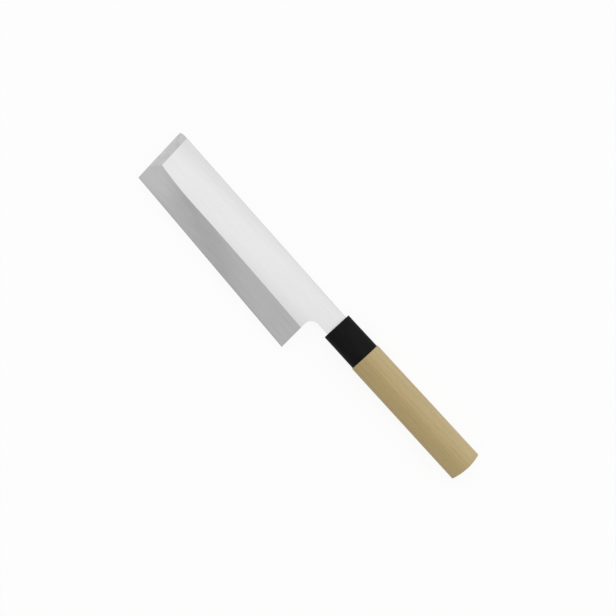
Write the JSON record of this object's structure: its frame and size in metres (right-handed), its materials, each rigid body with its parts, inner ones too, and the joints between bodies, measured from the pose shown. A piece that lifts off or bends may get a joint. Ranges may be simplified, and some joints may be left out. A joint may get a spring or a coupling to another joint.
{
  "type": "usuba knife",
  "caption": "Right-handed single-bevel Japanese vegetable knife: straight edge, squared tip, stick tang and a D-section wooden handle with a black ferrule.",
  "frame": {"origin": "on the surface that the knife lies on, under the middle of its bounding box", "axes": "+X along the handle from tip to butt, +Y from edge to spine, +Z out of the bevelled right face"},
  "size_m": [0.3198, 0.0522, 0.0204],
  "materials": {
    "blade_steel": "satin right face, darker ground bevels, hollow left face",
    "bedding_resin": "cast dark brown resin",
    "ferrule_plastic": "moulded black, satin",
    "handle_wood": "bare pale wood with a straight fine grain, sanded smooth"
  },
  "bodies": {
    "root": {"blade": "blade_steel", "tang_resin": "bedding_resin", "ferrule": "ferrule_plastic", "handle": "handle_wood"}
  },
  "joints": []
}
